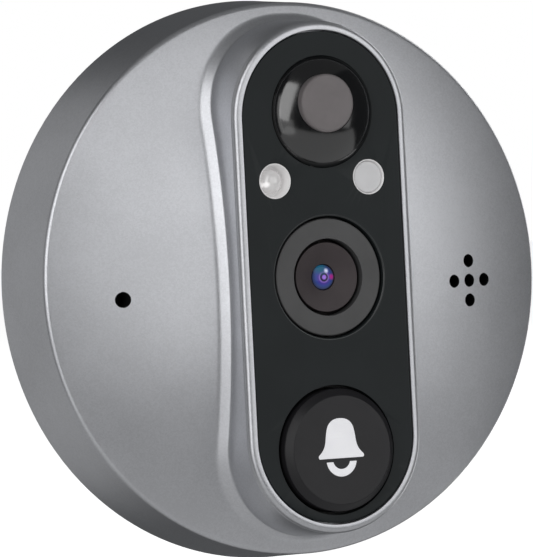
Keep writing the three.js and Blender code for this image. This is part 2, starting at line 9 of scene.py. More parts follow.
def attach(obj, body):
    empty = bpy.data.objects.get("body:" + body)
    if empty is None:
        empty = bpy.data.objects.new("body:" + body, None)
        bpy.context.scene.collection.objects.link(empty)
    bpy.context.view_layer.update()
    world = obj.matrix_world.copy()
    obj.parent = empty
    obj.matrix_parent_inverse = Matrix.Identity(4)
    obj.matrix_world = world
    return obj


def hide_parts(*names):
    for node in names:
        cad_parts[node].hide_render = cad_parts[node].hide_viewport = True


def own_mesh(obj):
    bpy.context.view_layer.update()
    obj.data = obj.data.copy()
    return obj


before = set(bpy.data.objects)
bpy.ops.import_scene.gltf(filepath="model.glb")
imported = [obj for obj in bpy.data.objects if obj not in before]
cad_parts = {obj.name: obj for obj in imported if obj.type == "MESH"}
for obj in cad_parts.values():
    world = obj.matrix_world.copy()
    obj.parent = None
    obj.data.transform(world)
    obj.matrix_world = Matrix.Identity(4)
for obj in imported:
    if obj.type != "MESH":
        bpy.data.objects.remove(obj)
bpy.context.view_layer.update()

MM = 0.001
BODY = "viewer_body"
BUTTON = "bell_button"

# Housing
BACK_R = 32.15
RIM_R = 31.5
HOUSING_BACK = 0.3
RIM_H = 10.25
CROWN_H = 16.2
WALL = 1.6
LEDGE_H = 4.1
LEDGE_R = 28.9
MOUTH_R = 30.3
RIM_ROUND = 0.8

# Island
ISLAND_H = 18.9
ISLAND_W = 10.95
ISLAND_L = 28.95
BEZEL = 1.0
EDGE_OUT = 0.74
EDGE_IN = 0.1
DRAFT = math.radians(4)
FOOT_HOLLOW = 1.6
FOOT_SLOPE = 0.85
FOOT_TILT = math.radians(38)
FOOT_EXTRA_TILT = math.radians(20)
FOOT_CORNER = 0.6
FOOT_AT_ENDS = 0.6
PANEL_FACE = 18.75
PANEL_BACK = 17.25
POCKET = 16.95
DECK_BACK = 15.35
CAVITY_W = ISLAND_W - WALL

# Places down the panel
PIR_X = 0.25
PIR_Z = 18.7
PIR_R = 6.3
PIR_HOLE_R = 6.36
PIR_NECK_R = 6.05
PIR_FLANGE_R = 7.6
PIR_TOP = PANEL_FACE + 3.07
PIR_SHOULDER_R = 0.88 * PIR_R
PIR_SHOULDER_TILT = math.radians(40)
PIR_EDGE_TILT = math.radians(66)
PIR_LENS_R = 3.3
PIR_LENS_FACE = PANEL_FACE + 2.95
PIR_LENS_BACK = PANEL_FACE + 0.9
FLANGE_BACK = 14.45
FLANGE_FRONT = 15.3
LAMP_XS = {"left": -6.1, "right": 5.85}
LAMP_Z = 11.1
LAMP_R = 2.0
LAMP_BACK = 6.65
LAMP_FLOOR = PANEL_FACE - 1.9
LAMP_LENS_TOP = LAMP_FLOOR + 1.7
CAMERA_X = 0.2
CAMERA_HOLE_R = 6.9
TRIM_R = 6.65
TRIM_BACK = 17.0
TRIM_FACE = PANEL_FACE - 0.33
APERTURE_R = 4.36
BARREL_BACK = 8.35
BARREL_RIM = TRIM_FACE - 0.4
BARREL_FLOOR = TRIM_FACE - 1.25
FRONT_LENS_EDGE = BARREL_FLOOR - 0.1
FRONT_LENS_R = 1.4
BUTTON_Z = -19.55
BUTTON_FACE = PANEL_FACE + 1.37
BUTTON_SKIN = BUTTON_FACE - 1.4
BUTTON_HOLE_R = 7.35
CAP_R = 6.95
CAP_FLANGE_R = 7.65
STEM_R = 1.6
BELL_X = -0.15
MIC_X = -23.1
SPEAKER_X = 21.1
SOUND_Z = -1.35
MIC_R = 0.88
SPEAKER_HOLE_R = 0.73
SPEAKER_PITCH = 2.27

# Places behind the front
CORNERS = [(1, 1), (-1, 1), (-1, -1), (1, -1)]
COVER_SCREW = 17.3
BOARD_SCREW_X = 12.8
BOARD_SCREW_ZS = (9, -12)
COVER_R = MOUTH_R - 0.15
COVER_BACK = 0.8
COVER_FRONT = 2.8
PAD_FRONT = 0.75
POST_X = 5.15
POST_R = 1.8
POST_BORE = 1.25
POST_END = -8.0
POST_HEAD_R = 2.4
POST_SEAT = 2.85
POST_HEAD = 3.75
PITCH = 0.5

LIGHT_DISTANCE = 1.2


# ------------------------------------------------------------------ materials

def node_tree(name):
    mat = bpy.data.materials.new(name)
    mat.use_nodes = True
    nodes = mat.node_tree.nodes
    nodes.clear()
    out = nodes.new("ShaderNodeOutputMaterial")
    shader = nodes.new("ShaderNodeBsdfPrincipled")
    mat.node_tree.links.new(shader.outputs[0], out.inputs[0])
    return mat, nodes, mat.node_tree.links, shader


def noise(nodes, links, coords, size_mm, detail=3.0, rough=0.55):
    """Soft noise whose blotches are about size_mm across."""
    tex = nodes.new("ShaderNodeTexNoise")
    tex.inputs["Scale"].default_value = 1.0 / (size_mm * MM)
    tex.inputs["Detail"].default_value = detail
    tex.inputs["Roughness"].default_value = rough
    links.new(coords, tex.inputs["Vector"])
    return tex.outputs["Fac"]


def ramp(nodes, links, value, low, high, start=0.3, end=0.7):
    """Maps a value from start..end to low..high."""
    node = nodes.new("ShaderNodeMapRange")
    node.inputs["From Min"].default_value = start
    node.inputs["From Max"].default_value = end
    node.inputs["To Min"].default_value = low
    node.inputs["To Max"].default_value = high
    links.new(value, node.inputs["Value"])
    return node.outputs["Result"]


def surface(name, colour, spread=0.06, rough=0.4, rough_spread=0.05, metal=0.0, grain_mm=0.25, grain=0.15,
            cloud_mm=9.0, specular=0.5, coat=0.0, ior=1.5, painted_glow=0.0, alpha=1.0, flake=0.0):
    """A finish whose colour drifts with a soft cloud, and whose roughness and height follow a fine grain."""
    mat, nodes, links, shader = node_tree(name)
    coords = nodes.new("ShaderNodeTexCoord").outputs["Object"]
    cloud = noise(nodes, links, coords, cloud_mm)
    fine = noise(nodes, links, coords, grain_mm, detail=2.0)
    mix = nodes.new("ShaderNodeMix")
    mix.data_type = "RGBA"
    tone = [c * (1 - spread) for c in colour], [min(1.0, c * (1 + spread)) for c in colour]
    mix.inputs["A"].default_value = (*tone[0], 1)
    mix.inputs["B"].default_value = (*tone[1], 1)
    factor = ramp(nodes, links, cloud, 0.0, 1.0)
    if flake:
        # Flakes: tiny cells, each a little lighter or darker, added to the soft cloud.
        cells = nodes.new("ShaderNodeTexVoronoi")
        cells.inputs["Scale"].default_value = 1.0 / (grain_mm * MM)
        links.new(coords, cells.inputs["Vector"])
        split = nodes.new("ShaderNodeSeparateColor")
        links.new(cells.outputs["Color"], split.inputs[0])
        blend = nodes.new("ShaderNodeMath")
        blend.operation = "MULTIPLY_ADD"
        blend.inputs[1].default_value = flake
        links.new(split.outputs[0], blend.inputs[0])
        shift = ramp(nodes, links, cloud, -flake / 2, 1.0 - flake / 2)
        links.new(shift, blend.inputs[2])
        factor = blend.outputs[0]
    links.new(factor, mix.inputs["Factor"])
    links.new(mix.outputs["Result"], shader.inputs["Base Color"])
    links.new(ramp(nodes, links, fine, max(0.02, rough - rough_spread), rough + rough_spread),
              shader.inputs["Roughness"])
    bump = nodes.new("ShaderNodeBump")
    bump.inputs["Strength"].default_value = grain
    bump.inputs["Distance"].default_value = 0.02 * MM
    links.new(fine, bump.inputs["Height"])
    links.new(bump.outputs[0], shader.inputs["Normal"])
    shader.inputs["Metallic"].default_value = metal
    shader.inputs["Specular IOR Level"].default_value = specular
    shader.inputs["Coat Weight"].default_value = coat
    shader.inputs["Coat Roughness"].default_value = 0.08
    shader.inputs["IOR"].default_value = ior
    shader.inputs["Alpha"].default_value = alpha
    # Painted glow: the colour is also emitted, so the surface shines brighter than its lighting makes it.
    if painted_glow:
        links.new(mix.outputs["Result"], shader.inputs["Emission Color"])
        shader.inputs["Emission Strength"].default_value = painted_glow
    return mat


silver = surface("silver_paint", (0.556, 0.563, 0.588), spread=0.065, rough=0.36, rough_spread=0.05,
                 metal=0.85, grain_mm=0.16, grain=0.3, cloud_mm=14, flake=0.8)
panel_black = surface("panel_black", (0.0143, 0.0175, 0.0185), spread=0.12, rough=0.24,
                      rough_spread=0.03, grain_mm=0.4, grain=0.05, cloud_mm=12, specular=0.13)
gloss_black = surface("gloss_black", (0.003, 0.003, 0.0033), spread=0.2, rough=0.15, rough_spread=0.02,
                      grain_mm=0.6, grain=0.03, cloud_mm=6, specular=1.0, ior=1.6)
panel_edge = surface("panel_edge", (0.0143, 0.0175, 0.0185), spread=0.12, rough=0.2, rough_spread=0.03,
                     grain_mm=0.4, grain=0.05, cloud_mm=12, specular=0.55)
cap_black = surface("cap_black", (0.0135, 0.013, 0.0148), spread=0.12, rough=0.42, rough_spread=0.05,
                    grain_mm=0.14, grain=0.35, cloud_mm=5, specular=0.32)
trim_grey = surface("trim_grey", (0.058, 0.058, 0.059), spread=0.12, rough=0.4, rough_spread=0.05,
                    grain_mm=0.12, grain=0.3, cloud_mm=5, specular=0.4)
barrel_black = surface("barrel_black", (0.045, 0.036, 0.038), spread=0.12, rough=0.5, rough_spread=0.05,
                       grain_mm=0.14, grain=0.4, cloud_mm=4, specular=0.35)
lens_grey = surface("lens_grey", (0.175, 0.16, 0.162), spread=0.08, rough=0.42, rough_spread=0.06,
                    grain_mm=0.2, grain=0.2, cloud_mm=3, specular=0.3)
# The bell sign's white carries a painted glow, which lifts it above its lighting.
icon_white = surface("icon_white", (0.82, 0.82, 0.845), spread=0.03, rough=0.5, rough_spread=0.05,
                     grain_mm=0.3, grain=0.15, cloud_mm=3, painted_glow=0.2)
# The lamp cups' white carries a painted glow, standing in for light through the white plastic.
lamp_white = surface("lamp_white", (0.77, 0.76, 0.76), spread=0.04, rough=0.35, rough_spread=0.05,
                     grain_mm=0.3, grain=0.15, cloud_mm=2, painted_glow=0.1)
# Both lamp lenses carry a painted glow as well.
lamp_glass = {
    "left": surface("clear_lens", (0.79, 0.78, 0.78), spread=0.04, rough=0.1, rough_spread=0.02,
                    grain_mm=0.5, grain=0.05, cloud_mm=2, specular=1.0, ior=1.9, painted_glow=0.06,
                    alpha=0.55),
    "right": surface("frosted_lens", (0.68, 0.68, 0.69), spread=0.04, rough=0.4, rough_spread=0.05,
                     grain_mm=0.25, grain=0.2, cloud_mm=2, painted_glow=0.08, alpha=0.8),
}
bore_black = surface("bore_black", (0.004, 0.004, 0.0042), spread=0.2, rough=0.8, rough_spread=0.06,
                     grain_mm=0.25, grain=0.3, cloud_mm=3, specular=0.1)
module_black = surface("module_black", (0.015, 0.015, 0.016), spread=0.15, rough=0.55,
                       rough_spread=0.06, grain_mm=0.15, grain=0.5, cloud_mm=6)
rubber_black = surface("rubber_black", (0.02, 0.02, 0.0205), spread=0.2, rough=0.85, rough_spread=0.06,
                       grain_mm=0.25, grain=0.8, cloud_mm=5)
silicone_grey = surface("silicone_grey", (0.27, 0.28, 0.29), spread=0.08, rough=0.65, rough_spread=0.06,
                        grain_mm=0.25, grain=0.4, cloud_mm=6)
cover_black = surface("cover_black", (0.032, 0.032, 0.034), spread=0.15, rough=0.55, rough_spread=0.06,
                      grain_mm=0.35, grain=0.8, cloud_mm=8)
steel = surface("steel", (0.58, 0.58, 0.585), spread=0.06, rough=0.28, rough_spread=0.07, metal=1.0,
                grain_mm=0.2, grain=0.2, cloud_mm=2)
brass = surface("brass", (0.62, 0.46, 0.2), spread=0.08, rough=0.3, rough_spread=0.07, metal=1.0,
                grain_mm=0.2, grain=0.2, cloud_mm=2)
board_green = surface("board_green", (0.012, 0.085, 0.04), spread=0.25, rough=0.35, rough_spread=0.06,
                      grain_mm=0.5, grain=0.2, cloud_mm=3, coat=0.3)
coated_glass = surface("coated_glass", (0.02, 0.035, 0.16), spread=0.25, rough=0.05, rough_spread=0.01,
                       grain_mm=0.5, grain=0.02, cloud_mm=2, coat=1.0)


def painted_glint(mat, x, z, near, far, low, high):
    """Paints a highlight: a small round spot of a piece glows more than the rest."""
    nodes, links = mat.node_tree.nodes, mat.node_tree.links
    shader = next(node for node in nodes if node.type == "BSDF_PRINCIPLED")
    coords = nodes.new("ShaderNodeTexCoord").outputs["Object"]
    flat = nodes.new("ShaderNodeVectorMath")
    flat.operation = "MULTIPLY"
    flat.inputs[1].default_value = (1, 0, 1)
    links.new(coords, flat.inputs[0])
    away = nodes.new("ShaderNodeVectorMath")
    away.operation = "DISTANCE"
    away.inputs[1].default_value = (x * MM, 0, z * MM)
    links.new(flat.outputs[0], away.inputs[0])
    strength = ramp(nodes, links, away.outputs["Value"], high, low, near * MM, far * MM)
    links.new(strength, shader.inputs["Emission Strength"])


# A painted highlight low on the left of the left lamp's lens.
painted_glint(lamp_glass["left"], LAMP_XS["left"] - 0.85, LAMP_Z - 0.35, 0.15, 0.42, 0.07, 1.0)


def lens_coating_and_painted_reflections():
    """Blue outside, violet towards the middle and a dark iris round a violet pupil, with painted reflections:
    a teal patch at the upper left and two glints, magenta and white. The colour glows a little too, as
    painted light.
    """
    mat, nodes, links, shader = node_tree("lens_coating_and_painted_reflections")
    coords = nodes.new("ShaderNodeTexCoord").outputs["Object"]
    apart = nodes.new("ShaderNodeSeparateXYZ")
    links.new(coords, apart.inputs[0])
    flat = nodes.new("ShaderNodeCombineXYZ")
    links.new(apart.outputs[0], flat.inputs[0])
    links.new(apart.outputs[2], flat.inputs[1])

    def apart_from(x, z, near, far):
        """1 within "near" millimetres of a point on the lens, falling to 0 at "far"."""
        away = nodes.new("ShaderNodeVectorMath")
        away.operation = "DISTANCE"
        away.inputs[1].default_value = ((x + CAMERA_X) * MM, z * MM, 0)
        links.new(flat.outputs[0], away.inputs[0])
        return ramp(nodes, links, away.outputs["Value"], 1.0, 0.0, near * MM, far * MM)

    def over(below, colour, factor):
        mix = nodes.new("ShaderNodeMix")
        mix.data_type = "RGBA"
        mix.inputs["B"].default_value = (*colour, 1)
        links.new(factor, mix.inputs["Factor"])
        links.new(below, mix.inputs["A"])
        return mix.outputs["Result"]

    bands = nodes.new("ShaderNodeValToRGB")
    stops = [
        (0.0, (0.01, 0.012, 0.03)), (0.1, (0.03, 0.045, 0.12)), (0.3, (0.03, 0.05, 0.22)),
        (0.5, (0.06, 0.035, 0.24)), (0.6, (0.2, 0.12, 0.42)), (0.68, (0.008, 0.006, 0.03)),
        (0.78, (0.008, 0.006, 0.03)), (0.84, (0.24, 0.11, 0.55)), (1.0, (0.3, 0.16, 0.62)),
    ]
    while len(bands.color_ramp.elements) < len(stops):
        bands.color_ramp.elements.new(0.5)
    for element, (place, colour) in zip(bands.color_ramp.elements, stops):
        element.position = place
        element.color = (*colour, 1)
    links.new(apart_from(0, 0, 0.0, 1.4), bands.inputs[0])
    # Painted reflections: a teal patch at the upper left, a magenta glint at the right and a white glint at
    # the upper right.
    colour = over(bands.outputs[0], (0.012, 0.09, 0.16), apart_from(-0.35, 1.05, 0.3, 0.95))
    colour = over(colour, (0.4, 0.02, 0.22), apart_from(1.02, 0.0, 0.08, 0.42))
    colour = over(colour, (0.55, 0.6, 0.8), apart_from(0.35, 0.72, 0.08, 0.34))
    links.new(colour, shader.inputs["Base Color"])
    # Painted glow: the lens's colour is also emitted.
    links.new(colour, shader.inputs["Emission Color"])
    shader.inputs["Emission Strength"].default_value = 0.35
    fine = noise(nodes, links, coords, 0.3)
    links.new(ramp(nodes, links, fine, 0.05, 0.09), shader.inputs["Roughness"])
    shader.inputs["Specular IOR Level"].default_value = 0.25
    return mat


lens_blue = lens_coating_and_painted_reflections()


# ------------------------------------------------------------------ mesh helpers

def at(x, h, z):
    return Vector((x * MM, -h * MM, z * MM))


def to_object(name, bm, material, weld=True):
    if weld:
        bmesh.ops.remove_doubles(bm, verts=bm.verts, dist=1e-7)
    bmesh.ops.recalc_face_normals(bm, faces=bm.faces)
    mesh = bpy.data.meshes.new(name)
    bm.to_mesh(mesh)
    bm.free()
    obj = bpy.data.objects.new(name, mesh)
    bpy.context.scene.collection.objects.link(obj)
    mesh.materials.append(material)
    return obj


def rounded(points, steps=5):
    """A profile of (radius, height) or (radius, height, rounding) with its marked corners rounded."""
    out = []
    for i, point in enumerate(points):
        size = point[2] if len(point) > 2 else 0
        here = Vector(point[:2])
        if not size or i in (0, len(points) - 1):
            out.append(tuple(here))
            continue
        before = (Vector(points[i - 1][:2]) - here).normalized()
        after = (Vector(points[i + 1][:2]) - here).normalized()
        half = before.angle(after) / 2
        run = size / math.tan(half)
        centre = here + (before + after).normalized() * (size / math.sin(half))
        first, last = here + before * run - centre, here + after * run - centre
        sweep = first.angle_signed(last)
        for k in range(steps + 1):
            turn = -sweep * k / steps
            x = first.x * math.cos(turn) - first.y * math.sin(turn)
            y = first.x * math.sin(turn) + first.y * math.cos(turn)
            out.append((centre.x + x, centre.y + y))
    return out


def dome(crown, rim, radius, steps, inner=0.0):
    """Points from the rim in to the crown of a spherical cap."""
    rise = crown - rim
    ball = (radius ** 2 + rise ** 2) / (2 * abs(rise))
    points = []
    for k in range(steps + 1):
        r = radius + (inner - radius) * k / steps
        points.append((r, crown - math.copysign(ball - math.sqrt(ball ** 2 - r ** 2), rise)))
    return points


def add_rings(bm, rings, start="cap", end="cap"):
    """Skins equal-length closed rings of points; an end is capped with one face, or left open."""
    rows = [[bm.verts.new(p) for p in ring] for ring in rings]
    for a, b in zip(rows, rows[1:]):
        for i in range(len(a)):
            j = (i + 1) % len(a)
            bm.faces.new((a[i], a[j], b[j], b[i]))
    if start == "cap":
        bm.faces.new(list(reversed(rows[0])))
    if end == "cap":
        bm.faces.new(rows[-1])
    return rows


def lathe_mesh(bm, profile, x=0.0, z=0.0, segments=96):
    """Turns a profile about the line through (x, z) normal to the door. Ends on the axis close to a point."""
    closed = profile[0] == profile[-1]
    if closed:
        profile = profile[:-1]
    rows = []
    for r, h in profile:
        if r < 1e-6:
            rows.append([bm.verts.new(at(x, h, z))])
            continue
        rows.append([
            bm.verts.new(at(x + r * math.cos(t), h, z + r * math.sin(t)))
            for t in (2 * math.pi * k / segments for k in range(segments))
        ])
    pairs = list(zip(rows, rows[1:])) + ([(rows[-1], rows[0])] if closed else [])
    for a, b in pairs:
        for i in range(segments):
            j = (i + 1) % segments
            if len(a) == 1 and len(b) == 1:
                break
            if len(a) == 1:
                bm.faces.new((a[0], b[j], b[i]))
            elif len(b) == 1:
                bm.faces.new((a[i], a[j], b[0]))
            else:
                bm.faces.new((a[i], a[j], b[j], b[i]))


def lathe(name, profile, material, x=0.0, z=0.0, segments=96):
    bm = bmesh.new()
    lathe_mesh(bm, profile, x, z, segments)
    return to_object(name, bm, material)


def circle(radius, x=0.0, z=0.0, count=72):
    return [(x + radius * math.cos(2 * math.pi * k / count), z + radius * math.sin(2 * math.pi * k / count))
            for k in range(count)]


def stadium(half_width, half_length, count=40):
    """A round-ended outline, long in z."""
    centre = half_length - half_width
    points = []
    for end, start in ((centre, 0.0), (-centre, math.pi)):
        for k in range(count + 1):
            t = start + math.pi * k / count
            points.append((half_width * math.cos(t), end + half_width * math.sin(t)))
    return points


def offset(outline, distance):
    """The outline moved out by a distance; outlines run anticlockwise."""
    moved = []
    n = len(outline)
    for i in range(n):
        a, b, c = Vector(outline[i - 1]), Vector(outline[i]), Vector(outline[(i + 1) % n])
        before = Vector(((b - a).y, -(b - a).x)).normalized()
        after = Vector(((c - b).y, -(c - b).x)).normalized()
        middle = (before + after).normalized()
        moved.append(tuple(b + middle * distance / max(0.5, middle.dot(before))))
    return moved


def plate_mesh(bm, outline, holes, back, front, edge=0.1, steps=3, hole_edges=None):
    """A flat plate with rounded front edges round its outline and its holes."""
    fronts, backs = [], []
    rounds = [edge] + (hole_edges or [edge] * len(holes))
    for points, way, edge in zip([outline] + holes, [-1] + [1] * len(holes), rounds):
        levels = [(0.0, back)]
        for k in range(steps + 1):
            turn = math.pi / 2 * k / steps
            levels.append((way * edge * (1 - math.cos(turn)), front - edge + edge * math.sin(turn)))
        rings = [[at(px, h, pz) for px, pz in (offset(points, d) if d else points)] for d, h in levels]
        rows = add_rings(bm, rings, start=None, end=None)
        backs.append(rows[0])
        fronts.append(rows[-1])
    for side in (fronts, backs):
        edges = [bm.edges.get((row[i - 1], row[i])) for row in side for i in range(len(row))]
        bmesh.ops.triangle_fill(bm, use_beauty=True, use_dissolve=False, edges=edges)


def plate(name, outline, holes, back, front, material, edge=0.1, hole_edges=None):
    bm = bmesh.new()
    plate_mesh(bm, outline, holes, back, front, edge, hole_edges=hole_edges)
    return to_object(name, bm, material)


def bake(obj):
    """Applies the modifiers."""
    view = bpy.context.evaluated_depsgraph_get()
    mesh = bpy.data.meshes.new_from_object(obj.evaluated_get(view))
    obj.modifiers.clear()
    obj.data = mesh


def combine(obj, others, operation):
    """Cuts or joins other objects, which are used up."""
    for other in others:
        mod = obj.modifiers.new(operation.lower(), "BOOLEAN")
        mod.operation = operation
        mod.solver = "EXACT"
        # The faces that a cutter makes keep the cutter's own material.
        mod.material_mode = "TRANSFER"
        mod.object = other
    bpy.context.view_layer.update()
    bake(obj)
    for other in others:
        bpy.data.objects.remove(other)


def finish(obj, nodes, body=BODY, angle=32.0):
    """Shades the piece smooth up to an angle, ties it to its body and hides the CAD nodes it stands for."""
    mesh = obj.data
    mesh.polygons.foreach_set("use_smooth", [True] * len(mesh.polygons))
    mesh.set_sharp_from_angle(angle=math.radians(angle))
    mod = obj.modifiers.new("even_shading", "WEIGHTED_NORMAL")
    mod.keep_sharp = True
    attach(obj, body)
    if nodes:
        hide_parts(*([nodes] if isinstance(nodes, str) else nodes))


# ------------------------------------------------------------------ housing

def dome_height(r):
    """Height of the housing's outer face at a radius."""
    rise = CROWN_H - RIM_H
    ball = (RIM_R ** 2 + rise ** 2) / (2 * rise)
    return CROWN_H - ball + math.sqrt(max(0.0, ball ** 2 - r ** 2))


def inner_height(r):
    """Height of the housing's inner face at a radius."""
    rise = CROWN_H - RIM_H
    ball = (LEDGE_R ** 2 + rise ** 2) / (2 * rise)
    return CROWN_H - WALL - ball + math.sqrt(max(0.0, ball ** 2 - r ** 2))


class Spoke:
    """A line in x and z that leaves the island square to its outline and runs out to the rim.

    A distance d along it is measured from the outline; reach(r) is the d at which it is r from the axis."""

    def __init__(self, base, way, start):
        self.base, self.way, self.start = Vector(base), Vector(way), start

    def point(self, d):
        return self.base + self.way * (self.start + d)

    def radius(self, d):
        return self.point(d).length

    def reach(self, radius):
        along = self.base.dot(self.way)
        return -along + math.sqrt(along ** 2 + radius ** 2 - self.base.length_squared) - self.start


def spokes(half_width, half_length, arc=56, side=44):
    """Spokes all round the island's outline, anticlockwise."""
    centre = half_length - half_width
    found = []
    for end, first in ((centre, 0.0), (-centre, math.pi)):
        for k in range(arc + 1):
            t = first + math.pi * k / arc
            found.append(Spoke((0, end), (math.cos(t), math.sin(t)), half_width))
        sign = -1 if end > 0 else 1
        for k in range(1, side):
            z = end - 2 * end * k / side
            found.append(Spoke((0, z), (sign, 0), half_width))
    return found


def foot(spoke):
    """Points from the island's wall down to the dome along a spoke: a tight corner, a slope, a wide hollow.

    The foot keeps its full width along the sides and narrows at the ends, where the rim is close."""
    scale = FOOT_AT_ENDS + (1 - FOOT_AT_ENDS) * abs(spoke.way.x)
    hollow, slope, corner = FOOT_HOLLOW * scale, FOOT_SLOPE * scale, FOOT_CORNER * scale
    tilt = FOOT_TILT + FOOT_EXTRA_TILT * (1 - abs(spoke.way.x))

    def out(lean):
        return Vector((math.sin(lean), math.cos(lean)))

    def build(d):
        fall = (dome_height(spoke.radius(d - 0.01)) - dome_height(spoke.radius(d + 0.01))) / 0.02
        start = math.atan(fall)
        centre = Vector((d, dome_height(spoke.radius(d)))) + out(start) * hollow
        points = [centre - out(start + (tilt - start) * k / 6) * hollow for k in range(7)]
        top = points[-1] + Vector((-math.cos(tilt), math.sin(tilt))) * slope
        centre = top + out(tilt) * corner
        wall = math.pi / 2 - DRAFT
        points += [points[-1] * (1 - k / 3) + top * (k / 3) for k in (1, 2)]
        return points + [centre - out(tilt + (wall - tilt) * k / 5) * corner for k in range(6)]

    low, high = 0.0, 6.0
    for _ in range(40):
        mid = (low + high) / 2
        last = build(mid)[-1]
        low, high = (mid, high) if last.x < (ISLAND_H - last.y) * math.tan(DRAFT) else (low, mid)
    return list(reversed(build(low)))


def rim_round():
    """Profile of the rounded front rim, from the dome to the side wall."""
    slope = (dome_height(RIM_R) - dome_height(RIM_R - 0.01)) / 0.01
    top = math.atan2(1, -slope)
    lean = math.atan2(BACK_R - RIM_R, RIM_H - HOUSING_BACK)
    centre_r = RIM_R
    for _ in range(30):
        on_dome = centre_r + RIM_ROUND * math.cos(top)
        centre_h = dome_height(on_dome) - RIM_ROUND * math.sin(top)
        wall = RIM_R + (RIM_H - centre_h) * math.tan(lean)
        centre_r = wall - RIM_ROUND / math.cos(lean)
    steps = 8
    return [
        (centre_r + RIM_ROUND * math.cos(top + (lean - top) * k / steps),
         centre_h + RIM_ROUND * math.sin(top + (lean - top) * k / steps))
        for k in range(steps + 1)
    ]


def peg(radius, back, front, x, z, mouth=0.0, mouth_h=0.0, segments=48):
    """A cylinder to join or to cut with, which may widen at a height to make a bore's mouth."""
    profile = [(0, back), (radius, back)]
    if mouth:
        profile += [(radius, mouth_h - mouth), (radius + mouth, mouth_h)]
        radius += mouth
    profile += [(radius, front), (0, front)]
    return lathe("peg", profile, silver, x, z, segments)


def housing():
    lines = spokes(ISLAND_W, ISLAND_L)
    rim = rim_round()
    feet = [foot(line) for line in lines]
    rings = []

    def ring(profile):
        """One ring of the shell: profile(spoke, foot) gives the distance along the spoke and the height."""
        points = []
        for line, f in zip(lines, feet):
            d, h = profile(line, f)
            p = line.point(d)
            points.append(at(p.x, h, p.y))
        rings.append(points)

    def fixed(d, h):
        ring(lambda line, f: (d, h))

    def round_ring(r, h):
        ring(lambda line, f: (line.reach(r), h))

    fixed(-BEZEL, POCKET)
    # The bezel's top: a small inner round, a narrow flat, and a broad round over to the wall.
    fixed(-BEZEL, ISLAND_H - EDGE_IN - 0.1)
    for k in range(5):
        turn = math.pi / 2 * k / 4
        fixed(-BEZEL + EDGE_IN * (1 - math.cos(turn)), ISLAND_H - EDGE_IN * (1 - math.sin(turn)))
    for k in range(11):
        turn = (math.pi / 2 - DRAFT) * k / 10
        fixed(-EDGE_OUT + EDGE_OUT * math.sin(turn), ISLAND_H - EDGE_OUT * (1 - math.cos(turn)))
    fixed((EDGE_OUT + 0.03) * math.tan(DRAFT), ISLAND_H - EDGE_OUT - 0.03)
    # The island's wall and foot, and the dome out to the rim.
    for k in range(len(feet[0])):
        ring(lambda line, f, k=k: tuple(f[k]))
    rows = 22
    for k in range(1, rows):
        def spread(line, f, k=k):
            start = f[-1].x
            d = start + (line.reach(rim[0][0]) - start) * k / rows
            return d, dome_height(line.radius(d))
        ring(spread)
    # The rim, the side wall, and the edge that stands next to the door.
    for r, h in rim:
        round_ring(r, h)
    round_ring(RIM_R + (BACK_R - RIM_R) * 0.1, RIM_H - 1.2)
    round_ring(BACK_R - 0.03, HOUSING_BACK + 0.5)
    back_edge = [(BACK_R, HOUSING_BACK + 0.6), (BACK_R, HOUSING_BACK, 0.2), (MOUTH_R, HOUSING_BACK, 0.12),
                 (MOUTH_R, LEDGE_H - 1)]
    for r, h in rounded(back_edge, 4)[1:]:
        round_ring(r, h)
    # Inside: the ledge for the seal, then up under the dome and in to the deck.
    round_ring(MOUTH_R, LEDGE_H)
    round_ring(LEDGE_R, LEDGE_H)
    round_ring(LEDGE_R, inner_height(LEDGE_R))
    cavity = CAVITY_W - ISLAND_W
    for k in range(1, 7):
        def inner(line, f, k=k):
            d = line.reach(LEDGE_R) + (cavity - line.reach(LEDGE_R)) * k / 6
            return d, inner_height(line.radius(d))
        ring(inner)
    fixed(cavity, DECK_BACK)

    bm = bmesh.new()
    add_rings(bm, rings)
    shell = to_object("housing_shell", bm, silver, weld=False)

    # Bosses for the screws of the cover and the board, from inside the dome down.
    bosses = [(sx * COVER_SCREW, sz * COVER_SCREW, 2.6, 2.85) for sx in (1, -1) for sz in (1, -1)]
    bosses += [(sx * BOARD_SCREW_X, z, 2.0, 5.85) for z in BOARD_SCREW_ZS for sx in (1, -1)]
    combine(shell, [peg(r, back, inner_height(math.hypot(x, z)) + 0.8, x, z) for x, z, r, back in bosses],
            "UNION")

    # Holes through the deck for the dome, the camera, the button and the lamps; then the screws' holes.
    deck = [(PIR_X, PIR_Z, 6.46), (CAMERA_X, 0, 5.9), (0, BUTTON_Z, 7.15)]
    deck += [(x, LAMP_Z, 2.35) for x in LAMP_XS.values()]
    cuts = [peg(r, DECK_BACK - 1, POCKET + 1, x, z, segments=64) for x, z, r in deck]
    cuts += [peg(1.25, 1.8, 9, x, z) for x, z, r, back in bosses[:4]]
    cuts += [peg(1.0, 4.8, 10, x, z) for x, z, r, back in bosses[4:]]
    combine(shell, cuts, "DIFFERENCE")

    # The sound holes are black inside, and their mouths are a little wider.
    sound = [(MIC_X, SOUND_Z, MIC_R)]
    sound += [(SPEAKER_X + dx * SPEAKER_PITCH, SOUND_Z + dz * SPEAKER_PITCH, SPEAKER_HOLE_R)
              for dx, dz in ((0, 0), (1, 0), (-1, 0), (0, 1), (0, -1))]
    bores = [peg(r, 8, 20, x, z, 0.03, dome_height(math.hypot(x, z)) - 0.02) for x, z, r in sound]
    # The camera ring's shallow seat is black, as painted shade, so that no silver shows in the gap round the
    # ring.
    bores.append(peg(CAMERA_HOLE_R, POCKET - 0.03, POCKET + 1, CAMERA_X, 0, segments=96))
    for bore in bores:
        bore.data.materials[0] = bore_black
    combine(shell, bores, "DIFFERENCE")
    finish(shell, "front_housing", angle=28)


housing()


# ------------------------------------------------------------------ panel

